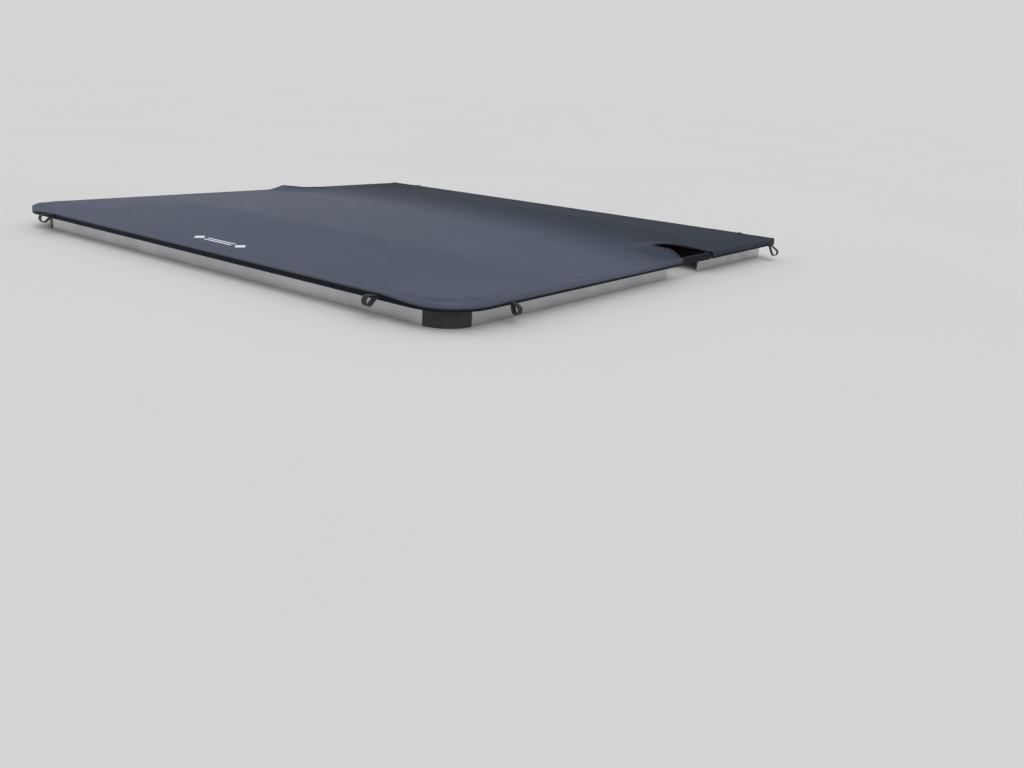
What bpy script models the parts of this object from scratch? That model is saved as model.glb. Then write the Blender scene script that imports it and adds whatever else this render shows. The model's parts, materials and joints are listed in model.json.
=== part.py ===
"""Clip-on soft tonneau cover for the tub of a dual-cab pickup with sports bars.

Aluminium rails stand on the tub's rim. A vinyl cover is stretched over three spring-loaded
bows, and its stiff hem hooks over the rails. Six pull loops on the hem unhook it, and the
cover then folds forward in leaves. The cover leaves room for the four feet of the sports bars.

Metres, +Z up, +Y towards the cab, +X to the right seen from behind. Pieces are modelled about
the middle of the cover's outline with z = 0 at the hem's lower edge, and all hang from one
empty that puts the origin at the bottom centre of the whole assembly.
"""

import math

import bmesh
import bpy
from mathutils import Vector

# ---------------------------------------------------------------- driving dimensions
WIDTH = 1.620  # over the outer faces of the side hems
LENGTH = 1.520  # tailgate hem to front hem
CORNER_RADIUS = 0.110  # the two corners beside the tailgate
CROWN = 0.026  # rise of the skin over the bows, above its straight edges
SKIN_THICK = 0.002
GAP = 0.0003  # between pieces that lie on each other
JOINT_GAP = 0.0005  # at each end of a length of hem, rail or seal

FOLD_FRONT_Y = 0.070  # fold line between the front and middle leaves
FOLD_REAR_Y = -0.480  # fold line between the middle and rear leaves
FOLD_FRONT_Z = 0.050  # height of each fold's axis
FOLD_REAR_Z = 0.045

HEM_HEIGHT = 0.016
HEM_WALL = 0.005
HEM_FLANGE_WIDTH = 0.030
HEM_FLANGE_THICK = 0.0035
HEM_CHAMFER = 0.0015
STRIP_WIDTH = 0.014  # the hem beside a sports-bar foot, which has no skin on it

RAIL_OUTER = 0.007  # from the hem's outer face in to the rail
RAIL_INNER = 0.045
RAIL_WALL = 0.003
RAIL_UPSTAND = 0.011
RAIL_FILLET = 0.001
LEG_DEPTH = 0.042
SEAL_OUTER = 0.012
SEAL_INNER = 0.0385
SEAL_THICK = 0.003

NOTCH_START_Y = 0.148  # cut-out for the rear foot of each sports bar
NOTCH_END_Y = 0.308
NOTCH_INNER_X = 0.695
NOTCH_OUTER_X = 0.794
NOTCH_RADIUS = 0.045
LIFT = 0.014  # swelling of the skin at the notch
LIFT_INNER_X = (0.620, 0.735)
LIFT_OUTER_X = (0.765, 0.808)
LIFT_START_Y = (0.075, 0.142)
LIFT_END_Y = (0.200, 0.330)
BINDING_WIDTH = 0.006
BINDING_THICK = 0.0035
STRIP_END_Y = 0.300
FLAP_START_Y = 0.316
RELIEF_Y = 0.735  # the front corners stop here, behind the front feet
FRONT_HEM_HALF = 0.684
SHORT_RAIL_END_Y = 0.728

BOW_YS = {"rear": -0.390, "middle": 0.010, "front": 0.420}
BOW_WIDTH = 0.025
BOW_HEIGHT = 0.016
BOW_WALL = 0.0018
BOW_RADIUS = 0.005
BOW_END_X = 0.745
BOW_STRAIGHT_X = 0.630  # the tube is level from here to its end
BOW_END_TOP = 0.0173
BOW_CENTRE_TOP = 0.0413
BOW_PLATEAU = 0.015  # the skin is level this far to each side of a bow

PLUG_INNER_X = 0.700
PLUG_SHOULDER_X = 0.744
NOSE_TIP_X = 0.758
NOSE_TAPER = 0.002
PLUG_HALF = (0.0103, 0.0058)  # along y and z
PLUG_RADIUS = 0.0030
NOSE_HALF = (0.0080, 0.0048)
NOSE_RADIUS = 0.0015
SEAT_X = (0.634, 0.641)
SPRING_X = (0.6415, 0.6995)
SPRING_RADIUS = 0.0043
SPRING_WIRE = 0.0008
SPRING_TURNS = 7

BRACKET_X = (0.748, 0.7647)
BRACKET_Y = 0.020
BRACKET_Z = (-0.018, 0.0185)
POCKET_HALF = (0.0090, 0.0053)

LOOP_WIDTH = 0.014  # width of the webbing
LOOP_THICK = 0.0022
LOOP_ROOT_OUT = 0.0026  # the root's axis stands this far out from the hem
LOOP_ROOT_RADIUS = 0.0022
LOOP_SEWN = 0.006  # length of the doubled, sewn root
TAILGATE_LOOP_X = 0.617
REAR_LOOP_Y = -0.580
FRONT_LOOP_Y = 0.692
# each kind of loop: radius of its ring, root to ring centre, how far it droops, root height
TAILGATE_LOOP = (0.0110, 0.0220, math.radians(16), 0.008)
REAR_LOOP = (0.0092, 0.0185, math.radians(50), 0.006)
FRONT_LOOP = (0.0100, 0.0290, math.radians(47), 0.006)

ARC_STEPS = 8
SKIN_CELLS_ACROSS = 16

# ---------------------------------------------------------------- worked-out dimensions
HALF_W = WIDTH / 2
HALF_L = LENGTH / 2
SKIN_BOTTOM = HEM_HEIGHT + GAP
SIDES = {"left": -1, "right": 1}
TAILGATE_LOOP_REACH = LOOP_ROOT_OUT + TAILGATE_LOOP[1] * math.cos(TAILGATE_LOOP[2]) + TAILGATE_LOOP[0]

# ---------------------------------------------------------------- materials
FINISHES = {
    "vinyl": ((0.105, 0.120, 0.155), 0.55, 0.0),
    "hem_vinyl": ((0.020, 0.022, 0.030), 0.50, 0.0),
    "webbing": ((0.012, 0.012, 0.015), 0.75, 0.0),
    "aluminium": ((0.600, 0.610, 0.620), 0.38, 1.0),
    "black_plastic": ((0.018, 0.018, 0.020), 0.45, 0.0),
    "foam": ((0.015, 0.015, 0.016), 0.95, 0.0),
    "spring_steel": ((0.450, 0.450, 0.460), 0.30, 1.0),
}


def make_material(name):
    """A Principled material in one of the finishes above."""
    colour, roughness, metallic = FINISHES[name]
    material = bpy.data.materials.new(name)
    material.use_nodes = True
    shader = material.node_tree.nodes["Principled BSDF"]
    shader.inputs["Base Color"].default_value = (*colour, 1.0)
    shader.inputs["Roughness"].default_value = roughness
    shader.inputs["Metallic"].default_value = metallic
    return material


# ---------------------------------------------------------------- modelling helpers
def place(name, bm, material, pivot=(0.0, 0.0, 0.0)):
    """Turn bm, modelled in cover coordinates, into an object whose origin is at pivot."""
    bmesh.ops.recalc_face_normals(bm, faces=bm.faces[:])
    bmesh.ops.translate(bm, vec=-Vector(pivot), verts=bm.verts[:])
    mesh = bpy.data.meshes.new(name)
    bm.to_mesh(mesh)
    bm.free()
    mesh.materials.append(MATERIALS[material])
    mesh.shade_smooth()
    mesh.set_sharp_from_angle(angle=math.radians(30))
    obj = bpy.data.objects.new(name, mesh)
    obj.location = pivot
    obj.parent = FRAME
    bpy.context.collection.objects.link(obj)
    return obj


def loft(rings, loop=False):
    """Join rings of equally many points with quads: capped at both ends, or back to the start."""
    bm = bmesh.new()
    verts = [[bm.verts.new(point) for point in ring] for ring in rings]
    count = len(rings[0])
    pairs = list(zip(verts, verts[1:]))
    if loop:
        pairs.append((verts[-1], verts[0]))
    else:
        bm.faces.new(verts[0])
        bm.faces.new(verts[-1])
    for first, second in pairs:
        for k in range(count):
            after = (k + 1) % count
            bm.faces.new((first[k], first[after], second[after], second[k]))
    return bm


def sweep(stations):
    """Sweep a section of (inward distance, height) points along (point, inward normal, section)."""
    rings = []
    for (x, y), (nx, ny), section in stations:
        rings.append([(x + nx * inward, y + ny * inward, z) for inward, z in section])
    return loft(rings)


def side_run(side, y_start, y_end, section):
    """Stations of a straight length along one side edge."""
    x = SIDES[side] * HALF_W
    inward = (-SIDES[side], 0)
    return [((x, y_start), inward, section), ((x, y_end), inward, section)]


def end_run(y_sign, half, section):
    """Stations of a straight length along the front (+1) or tailgate (-1) edge."""
    inward = (0, -y_sign)
    return [((-half, y_sign * HALF_L), inward, section), ((half, y_sign * HALF_L), inward, section)]


def corner_run(side, section):
    """Stations round the rounded corner between one side and the tailgate."""
    sign = SIDES[side]
    stations = []
    margin = JOINT_GAP / CORNER_RADIUS
    for k in range(ARC_STEPS + 1):
        angle = margin + (math.pi / 2 - 2 * margin) * k / ARC_STEPS
        out = (sign * math.cos(angle), -math.sin(angle))
        point = (
            sign * (HALF_W - CORNER_RADIUS) + CORNER_RADIUS * out[0],
            CORNER_RADIUS - HALF_L + CORNER_RADIUS * out[1],
        )
        stations.append((point, (-out[0], -out[1]), section))
    return stations


def arc(centre, radius, start, end, steps=ARC_STEPS):
    """Points on an arc in the plan view; the angles are in degrees."""
    points = []
    for k in range(steps + 1):
        angle = math.radians(start + (end - start) * k / steps)
        points.append((centre[0] + radius * math.cos(angle), centre[1] + radius * math.sin(angle)))
    return points


def smooth_step(value, start, end):
    """0 before start, 1 after end, and an S-curve between them."""
    share = max(0.0, min(1.0, (value - start) / (end - start)))
    return share * share * (3 - 2 * share)


def foot_lift(x, y):
    """The skin swells where it meets the foot of a sports bar, just behind the notch."""
    across = smooth_step(abs(x), *LIFT_INNER_X) * (1 - smooth_step(abs(x), *LIFT_OUTER_X))
    along = smooth_step(y, *LIFT_START_Y) * (1 - smooth_step(y, *LIFT_END_Y))
    return LIFT * across * along


def crown(x, y):
    """Height of the taut skin over its edges: arched across, level along the bows' stretch."""
    across = 1 - (x / HALF_W) ** 2
    rear_rise = (HALF_L + y) / (HALF_L + BOW_YS["rear"] - BOW_PLATEAU)
    front_rise = (HALF_L - y) / (HALF_L - BOW_YS["front"] - BOW_PLATEAU)
    arch = CROWN * max(0.0, across) * max(0.0, min(1.0, rear_rise, front_rise))
    return arch + foot_lift(x, y)


# ---------------------------------------------------------------- sections
def hem_section(flange_width=HEM_FLANGE_WIDTH):
    """Stiff hem: a wall outside the rail and a flange over it, under the skin."""
    return [
        (0.0, 0.0),
        (HEM_WALL, 0.0),
        (HEM_WALL, HEM_HEIGHT - HEM_FLANGE_THICK),
        (flange_width, HEM_HEIGHT - HEM_FLANGE_THICK),
        (flange_width, HEM_HEIGHT),
        (HEM_CHAMFER, HEM_HEIGHT),
        (0.0, HEM_HEIGHT - HEM_CHAMFER),
    ]


def rail_section():
    """Rail: a flange on the tub's rim, an upstand for the hem and a leg inside the tub."""
    return [
        (RAIL_OUTER, 0.0),
        (RAIL_INNER - RAIL_WALL - RAIL_FILLET, 0.0),
        (RAIL_INNER - RAIL_WALL, -RAIL_FILLET),
        (RAIL_INNER - RAIL_WALL, -LEG_DEPTH),
        (RAIL_INNER, -LEG_DEPTH),
        (RAIL_INNER, RAIL_WALL),
        (RAIL_OUTER + RAIL_WALL, RAIL_WALL),
        (RAIL_OUTER + RAIL_WALL, RAIL_UPSTAND),
        (RAIL_OUTER, RAIL_UPSTAND),
    ]


def seal_section():
    """Foam strip between the rail's flange and the tub's rim."""
    return [
        (SEAL_OUTER, -SEAL_THICK),
        (SEAL_INNER, -SEAL_THICK),
        (SEAL_INNER, -GAP),
        (SEAL_OUTER, -GAP),
    ]


# ---------------------------------------------------------------- rails and seals
def build_rails():
    """Rails round the tub, in lengths that leave room for the feet of the sports bars."""
    corner_y = CORNER_RADIUS - HALF_L
    rail_end = NOTCH_START_Y - 0.008
    for side in SIDES:
        long_run = side_run(side, corner_y + JOINT_GAP, rail_end, rail_section())
        place(f"side_rail_{side}", sweep(long_run), "aluminium")
        short_run = side_run(side, FLAP_START_Y, SHORT_RAIL_END_Y, rail_section())
        place(f"short_rail_{side}", sweep(short_run), "aluminium")
        place(f"corner_rail_{side}", sweep(corner_run(side, rail_section())), "black_plastic")
        long_seal = side_run(side, corner_y + JOINT_GAP, rail_end, seal_section())
        place(f"side_seal_{side}", sweep(long_seal), "foam")
        short_seal = side_run(side, FLAP_START_Y, SHORT_RAIL_END_Y, seal_section())
        place(f"short_seal_{side}", sweep(short_seal), "foam")
    tailgate_half = HALF_W - CORNER_RADIUS - JOINT_GAP
    place("tailgate_rail", sweep(end_run(-1, tailgate_half, rail_section())), "aluminium")
    place("tailgate_seal", sweep(end_run(-1, tailgate_half, seal_section())), "foam")
    place("front_rail", sweep(end_run(1, FRONT_HEM_HALF, rail_section())), "aluminium")
    place("front_seal", sweep(end_run(1, FRONT_HEM_HALF, seal_section())), "foam")


# ---------------------------------------------------------------- bows
def rounded_section(width, height, radius):
    """Twelve points of a rounded rectangle, as (y, z)."""
    points = []
    for quarter in range(4):
        sign_y = (1, -1, -1, 1)[quarter]
        sign_z = (1, 1, -1, -1)[quarter]
        centre = (sign_y * (width / 2 - radius), sign_z * (height / 2 - radius))
        points += arc(centre, radius, 90 * quarter, 90 * quarter + 90, steps=2)
    return points


def bow_top(x):
    """Height of the top of a bow: arched, with a level stretch at each end."""
    across = max(0.0, 1 - (x / BOW_STRAIGHT_X) ** 2)
    return BOW_END_TOP + (BOW_CENTRE_TOP - BOW_END_TOP) * across


def bow_tube(y):
    """Arched tube, open at both ends."""
    steps = 14
    spine = [-BOW_END_X]
    spine += [BOW_STRAIGHT_X * (2 * k / steps - 1) for k in range(steps + 1)]
    spine += [BOW_END_X]

    def ring(x, inset):
        size = (BOW_WIDTH - 2 * inset, BOW_HEIGHT - 2 * inset)
        middle = bow_top(x) - BOW_HEIGHT / 2
        return [(x, y + dy, middle + dz) for dy, dz in rounded_section(*size, BOW_RADIUS - inset)]

    outer = [ring(x, 0.0) for x in spine]
    inner = [ring(x, BOW_WALL) for x in reversed(spine)]
    return loft(outer + inner, loop=True)


def block_ring(x, y, z, half):
    """Four corners of an upright rectangle centred on (y, z)."""
    return [(x, y + sy * half[0], z + sz * half[1]) for sy, sz in ((1, 1), (-1, 1), (-1, -1), (1, -1))]


def rounded_ring(x, y, z, half, radius):
    """An upright rounded rectangle centred on (y, z)."""
    section = rounded_section(2 * half[0], 2 * half[1], radius)
    return [(x, y + dy, z + dz) for dy, dz in section]


def bow_plug(sign, y, z):
    """Plug in a tube's end with a nose for the bracket's pocket."""
    tip_half = (NOSE_HALF[0] - NOSE_TAPER, NOSE_HALF[1] - NOSE_TAPER)
    return loft([
        rounded_ring(sign * PLUG_INNER_X, y, z, PLUG_HALF, PLUG_RADIUS),
        rounded_ring(sign * PLUG_SHOULDER_X, y, z, PLUG_HALF, PLUG_RADIUS),
        rounded_ring(sign * PLUG_SHOULDER_X, y, z, NOSE_HALF, NOSE_RADIUS),
        rounded_ring(sign * (NOSE_TIP_X - NOSE_TAPER), y, z, NOSE_HALF, NOSE_RADIUS),
        rounded_ring(sign * NOSE_TIP_X, y, z, tip_half, NOSE_RADIUS),
    ])


def bow_bracket(sign, y, z):
    """Block on the rail's leg with a pocket right through it."""
    middle = (BRACKET_Z[0] + BRACKET_Z[1]) / 2
    outside = (BRACKET_Y, (BRACKET_Z[1] - BRACKET_Z[0]) / 2)
    return loft([
        block_ring(sign * BRACKET_X[0], y, middle, outside),
        block_ring(sign * BRACKET_X[1], y, middle, outside),
        block_ring(sign * BRACKET_X[1], y, z, POCKET_HALF),
        block_ring(sign * BRACKET_X[0], y, z, POCKET_HALF),
    ], loop=True)


def coil_spring(y, z):
    """Compression spring along X behind the sliding plug."""
    points_per_turn = 12
    wire_sides = 5
    total = SPRING_TURNS * points_per_turn
    start, end = SPRING_X[0] + SPRING_WIRE, SPRING_X[1] - SPRING_WIRE
    rings = []
    for k in range(total + 1):
        turn = 2 * math.pi * k / points_per_turn
        outward = Vector((0, math.cos(turn), math.sin(turn)))
        centre = Vector((start + (end - start) * k / total, y, z)) + SPRING_RADIUS * outward
        ring = []
        for j in range(wire_sides):
            angle = 2 * math.pi * j / wire_sides
            across = math.cos(angle) * outward + math.sin(angle) * Vector((1, 0, 0))
            ring.append(centre + SPRING_WIRE * across)
        rings.append(ring)
    return loft(rings)


def build_bows():
    """Three bows: a tube, a fixed plug, and a plug that slides against a spring."""
    z = BOW_END_TOP - BOW_HEIGHT / 2
    for name, y in BOW_YS.items():
        place(f"bow_{name}", bow_tube(y), "aluminium")
        place(f"bow_plug_{name}", bow_plug(-1, y, z), "black_plastic")
        place(f"bow_plunger_{name}", bow_plug(1, y, z), "black_plastic", pivot=(PLUG_INNER_X, y, z))
        place(f"bow_spring_{name}", coil_spring(y, z), "spring_steel", pivot=(SPRING_X[0], y, z))
        seat = loft([rounded_ring(x, y, z, PLUG_HALF, PLUG_RADIUS) for x in SEAT_X])
        place(f"spring_seat_{name}", seat, "black_plastic")
        for side, sign in SIDES.items():
            place(f"bow_bracket_{name}_{side}", bow_bracket(sign, y, z), "black_plastic")


# ---------------------------------------------------------------- hem
def build_hem():
    """Lengths of stiff hem, in the leaf that each belongs to."""
    corner_y = CORNER_RADIUS - HALF_L
    section = hem_section()
    strip = hem_section(STRIP_WIDTH)
    front_fold = (0.0, FOLD_FRONT_Y, FOLD_FRONT_Z)
    rear_fold = (0.0, FOLD_REAR_Y, FOLD_REAR_Z)
    for side in SIDES:
        beside_foot = NOTCH_START_Y - BINDING_WIDTH - GAP
        front = side_run(side, FOLD_FRONT_Y + JOINT_GAP, beside_foot, section)
        front += side_run(side, beside_foot, STRIP_END_Y, strip)
        place(f"hem_front_side_{side}", sweep(front), "hem_vinyl")
        flap = side_run(side, FLAP_START_Y, RELIEF_Y - JOINT_GAP, section)
        place(f"hem_flap_{side}", sweep(flap), "hem_vinyl")
        middle = side_run(side, FOLD_REAR_Y + JOINT_GAP, FOLD_FRONT_Y - JOINT_GAP, section)
        place(f"hem_middle_{side}", sweep(middle), "hem_vinyl", pivot=front_fold)
        rear = side_run(side, corner_y + JOINT_GAP, FOLD_REAR_Y - JOINT_GAP, section)
        place(f"hem_rear_{side}", sweep(rear), "hem_vinyl", pivot=rear_fold)
        place(f"hem_corner_{side}", sweep(corner_run(side, section)), "hem_vinyl", pivot=rear_fold)
    half = HALF_W - CORNER_RADIUS - JOINT_GAP
    place("hem_tailgate", sweep(end_run(-1, half, section)), "hem_vinyl", pivot=rear_fold)
    place("hem_headboard", sweep(end_run(1, FRONT_HEM_HALF, section)), "hem_vinyl")


# ---------------------------------------------------------------- skin
def notch_line(side, offset, outer_x):
    """Edge of a sports-bar notch from its tailgate end round to its cab end, offset into the skin."""
    sign = SIDES[side]
    centre_x = NOTCH_INNER_X + NOTCH_RADIUS
    radius = NOTCH_RADIUS + offset
    points = [(outer_x, NOTCH_START_Y - offset)]
    points += arc((centre_x, NOTCH_START_Y + NOTCH_RADIUS), radius, -90, -180)
    points += arc((centre_x, NOTCH_END_Y - NOTCH_RADIUS), radius, 180, 90)
    points += [(outer_x, NOTCH_END_Y + offset)]
    return [(sign * x, y) for x, y in points]


def skin_solid(outline):
    """Crowned sheet of vinyl inside a plan outline."""
    bm = bmesh.new()
    bm.faces.new([bm.verts.new((x, y, 0.0)) for x, y in outline])
    cuts = []
    for k in range(1, SKIN_CELLS_ACROSS):
        cuts.append(((WIDTH * (k / SKIN_CELLS_ACROSS - 0.5), 0, 0), (1, 0, 0)))
    for y in BOW_YS.values():
        cuts += [((0, y + step, 0), (0, 1, 0)) for step in (-BOW_PLATEAU, BOW_PLATEAU)]
    for sign in SIDES.values():
        cuts += [((sign * x, 0, 0), (1, 0, 0)) for x in (*LIFT_INNER_X, *LIFT_OUTER_X)]
    cuts += [((0, y, 0), (0, 1, 0)) for y in (sum(LIFT_START_Y) / 2, sum(LIFT_END_Y) / 2)]
    for point, normal in cuts:
        geometry = bm.verts[:] + bm.edges[:] + bm.faces[:]
        bmesh.ops.bisect_plane(bm, geom=geometry, dist=1e-6, plane_co=point, plane_no=normal)
    bmesh.ops.triangulate(bm, faces=bm.faces[:])
    for vert in bm.verts:
        vert.co.z = SKIN_BOTTOM + crown(vert.co.x, vert.co.y)
    raised = bmesh.ops.extrude_face_region(bm, geom=bm.faces[:])["geom"]
    upper = [item for item in raised if isinstance(item, bmesh.types.BMVert)]
    bmesh.ops.translate(bm, vec=(0, 0, SKIN_THICK), verts=upper)
    return bm


def front_outline():
    """Front leaf: full width behind the notches, and narrower between them up to the headboard."""
    notch = notch_line("right", BINDING_WIDTH + GAP, HALF_W)
    tailgate_half = notch[: ARC_STEPS + 2]
    edge_x = tailgate_half[-1][0]
    right = [(HALF_W, FOLD_FRONT_Y + JOINT_GAP), *tailgate_half, (edge_x, HALF_L)]
    left = [(-x, y) for x, y in reversed(right)]
    return right + left


def flap_outline(side):
    """Flap between the two feet of a sports bar, outboard of the front leaf."""
    notch = notch_line("right", BINDING_WIDTH + GAP, HALF_W)
    cab_half = notch[ARC_STEPS + 2:]
    edge_x = cab_half[0][0] + GAP
    right = [(edge_x, cab_half[0][1]), *cab_half[1:], (HALF_W, RELIEF_Y), (edge_x, RELIEF_Y)]
    sign = SIDES[side]
    return [(sign * x, y) for x, y in right]


def rear_outline():
    """Rear leaf: rounded at the tailgate's two corners."""
    fold = FOLD_REAR_Y - JOINT_GAP
    centre_x = HALF_W - CORNER_RADIUS
    centre_y = CORNER_RADIUS - HALF_L
    outline = [(HALF_W, fold), (-HALF_W, fold)]
    outline += arc((-centre_x, centre_y), CORNER_RADIUS, 180, 270)
    outline += arc((centre_x, centre_y), CORNER_RADIUS, 270, 360)
    return outline


def build_skin():
    """The vinyl in three leaves, with the binding round each notch."""
    front_fold = (0.0, FOLD_FRONT_Y, FOLD_FRONT_Z)
    rear_fold = (0.0, FOLD_REAR_Y, FOLD_REAR_Z)
    start, end = FOLD_REAR_Y + JOINT_GAP, FOLD_FRONT_Y - JOINT_GAP
    middle = [(-HALF_W, start), (HALF_W, start), (HALF_W, end), (-HALF_W, end)]
    place("skin_front", skin_solid(front_outline()), "vinyl")
    for side in SIDES:
        place(f"skin_flap_{side}", skin_solid(flap_outline(side)), "vinyl")
    place("skin_middle", skin_solid(middle), "vinyl", pivot=front_fold)
    place("skin_rear", skin_solid(rear_outline()), "vinyl", pivot=rear_fold)
    for side in SIDES:
        inner_line = notch_line(side, 0.0, NOTCH_OUTER_X)
        outer_line = notch_line(side, BINDING_WIDTH, NOTCH_OUTER_X)
        rings = []
        for (xi, yi), (xo, yo) in zip(inner_line, outer_line):
            base = SKIN_BOTTOM + crown(xi, yi)
            top = base + BINDING_THICK
            rings.append([(xi, yi, base), (xi, yi, top), (xo, yo, top), (xo, yo, base)])
        place(f"notch_binding_{side}", loft(rings), "hem_vinyl")


# ---------------------------------------------------------------- pull loops
def teardrop(ring_radius, reach, tip_radius, steps=16):
    """Outline round a ring centred at (reach, 0) and drawn to a small round tip at the origin."""
    tangent = math.acos((ring_radius - tip_radius) / reach)
    points = []
    for k in range(steps + 1):
        angle = math.pi - tangent - (2 * math.pi - 2 * tangent) * k / steps
        points.append((reach + ring_radius * math.cos(angle), ring_radius * math.sin(angle)))
    for k in range(4):
        angle = math.pi + tangent - 2 * tangent * k / 3
        points.append((tip_radius * math.cos(angle), tip_radius * math.sin(angle)))
    return points


def pull_loop(name, kind, out, root_xy):
    """Loop of webbing on the hem. out points away from the cover, root_xy lies on the hem's face."""
    ring_radius, reach, droop, root_z = kind
    outward = Vector((*out, 0.0))
    along = Vector((-out[1], out[0], 0.0))
    pivot = Vector((*root_xy, root_z)) + LOOP_ROOT_OUT * outward
    direction = math.cos(droop) * outward - Vector((0, 0, math.sin(droop)))
    rise = math.sin(droop) * outward + Vector((0, 0, math.cos(droop)))
    outer = teardrop(ring_radius, reach, LOOP_ROOT_RADIUS)
    inner = teardrop(ring_radius - LOOP_THICK, reach - LOOP_SEWN, LOOP_ROOT_RADIUS / 2)
    inner = [(a + LOOP_SEWN, b) for a, b in inner]

    def ring(profile, half):
        return [pivot + a * direction + b * rise + half * along for a, b in profile]

    half = LOOP_WIDTH / 2
    bm = loft([ring(outer, -half), ring(outer, half), ring(inner, half), ring(inner, -half)], loop=True)
    place(name, bm, "webbing", pivot=pivot)


def build_loops():
    """Two pull loops at the tailgate, two behind it on the sides and two near the cab."""
    for side, sign in SIDES.items():
        out = (sign, 0)
        pull_loop(f"pull_loop_tailgate_{side}", TAILGATE_LOOP, (0, -1), (sign * TAILGATE_LOOP_X, -HALF_L))
        pull_loop(f"pull_loop_rear_{side}", REAR_LOOP, out, (sign * HALF_W, REAR_LOOP_Y))
        pull_loop(f"pull_loop_front_{side}", FRONT_LOOP, out, (sign * HALF_W, FRONT_LOOP_Y))


# ---------------------------------------------------------------- assembly
for old in list(bpy.data.objects):
    bpy.data.objects.remove(old, do_unlink=True)

MATERIALS = {name: make_material(name) for name in FINISHES}
FRAME = bpy.data.objects.new("tonneau_cover", None)
FRAME.location = (0.0, TAILGATE_LOOP_REACH / 2, LEG_DEPTH)
bpy.context.collection.objects.link(FRAME)

build_rails()
build_bows()
build_hem()
build_skin()
build_loops()
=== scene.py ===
"""Looks of the soft tonneau cover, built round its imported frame.

Pieces are modelled in cover coordinates: the middle of the hem's outline, with z = 0 at the
hem's lower edge, +Y towards the cab. ORIGIN moves them into the frame.
"""

import json
import math
from collections import Counter

import bpy
from mathutils import Matrix, Vector, noise
from mathutils.geometry import delaunay_2d_cdt

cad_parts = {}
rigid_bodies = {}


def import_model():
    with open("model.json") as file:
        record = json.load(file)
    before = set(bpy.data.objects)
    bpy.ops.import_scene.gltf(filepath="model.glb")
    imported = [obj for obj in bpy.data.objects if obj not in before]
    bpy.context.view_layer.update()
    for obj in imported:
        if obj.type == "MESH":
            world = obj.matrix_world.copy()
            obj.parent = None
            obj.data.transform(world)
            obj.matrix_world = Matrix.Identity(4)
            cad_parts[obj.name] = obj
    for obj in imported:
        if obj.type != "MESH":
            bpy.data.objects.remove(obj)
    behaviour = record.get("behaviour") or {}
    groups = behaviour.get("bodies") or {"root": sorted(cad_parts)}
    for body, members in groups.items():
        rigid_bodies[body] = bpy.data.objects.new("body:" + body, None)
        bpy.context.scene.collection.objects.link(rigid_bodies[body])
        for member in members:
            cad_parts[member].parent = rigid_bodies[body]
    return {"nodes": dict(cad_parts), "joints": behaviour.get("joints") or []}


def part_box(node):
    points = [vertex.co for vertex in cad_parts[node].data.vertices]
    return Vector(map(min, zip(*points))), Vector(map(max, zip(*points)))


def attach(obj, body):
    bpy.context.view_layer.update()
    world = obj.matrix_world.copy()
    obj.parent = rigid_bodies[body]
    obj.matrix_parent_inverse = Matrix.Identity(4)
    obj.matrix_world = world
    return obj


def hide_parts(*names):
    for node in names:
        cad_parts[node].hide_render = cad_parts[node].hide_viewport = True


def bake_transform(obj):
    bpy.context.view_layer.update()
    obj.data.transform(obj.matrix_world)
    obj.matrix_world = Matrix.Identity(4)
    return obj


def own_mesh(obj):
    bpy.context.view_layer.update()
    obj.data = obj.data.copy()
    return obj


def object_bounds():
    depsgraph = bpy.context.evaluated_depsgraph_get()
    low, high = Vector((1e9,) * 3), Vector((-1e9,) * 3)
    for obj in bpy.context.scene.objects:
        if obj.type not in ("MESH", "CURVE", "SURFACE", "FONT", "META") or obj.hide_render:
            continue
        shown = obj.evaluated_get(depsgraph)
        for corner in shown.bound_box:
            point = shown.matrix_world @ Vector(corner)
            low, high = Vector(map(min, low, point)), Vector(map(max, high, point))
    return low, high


for leftover in list(bpy.data.objects):
    bpy.data.objects.remove(leftover, do_unlink=True)
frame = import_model()
CAD_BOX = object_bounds()

# ---------------- sizes read from the frame
JOINT_GAP = 0.0005  # at each end of a length of hem
SIDES = {"left": -1, "right": 1}
TAILGATE_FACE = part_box("hem_tailgate")[0].y
CAB_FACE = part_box("hem_headboard")[1].y
HEM_LOWER_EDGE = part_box("hem_tailgate")[0].z
ORIGIN = Vector((0, (TAILGATE_FACE + CAB_FACE) / 2, HEM_LOWER_EDGE))
HALF_L = (CAB_FACE - TAILGATE_FACE) / 2
HALF_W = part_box("hem_middle_right")[1].x
CORNER_RADIUS = HALF_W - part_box("hem_tailgate")[1].x - JOINT_GAP
CORNER_X = HALF_W - CORNER_RADIUS
CORNER_Y = CORNER_RADIUS - HALF_L
HEADBOARD_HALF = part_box("hem_headboard")[1].x
STRIP_END_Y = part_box("hem_front_side_right")[1].y - ORIGIN.y
FLAP_START_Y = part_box("hem_flap_right")[0].y - ORIGIN.y
RELIEF_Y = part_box("hem_flap_right")[1].y + JOINT_GAP - ORIGIN.y
NOTCH_BOX = [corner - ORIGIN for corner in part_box("notch_binding_right")]
BOWS = ("rear", "middle", "front")
BOW_Y = {name: sum(c.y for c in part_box(f"bow_{name}")) / 2 - ORIGIN.y for name in BOWS}
BOW_END_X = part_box("bow_rear")[1].x
PIVOTS = {j["name"]: Vector(j["pos_m"]) - ORIGIN for j in frame["joints"] if "pos_m" in j}
FOLD_FRONT = PIVOTS["front_fold"]
FOLD_REAR = PIVOTS["rear_fold"]

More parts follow.
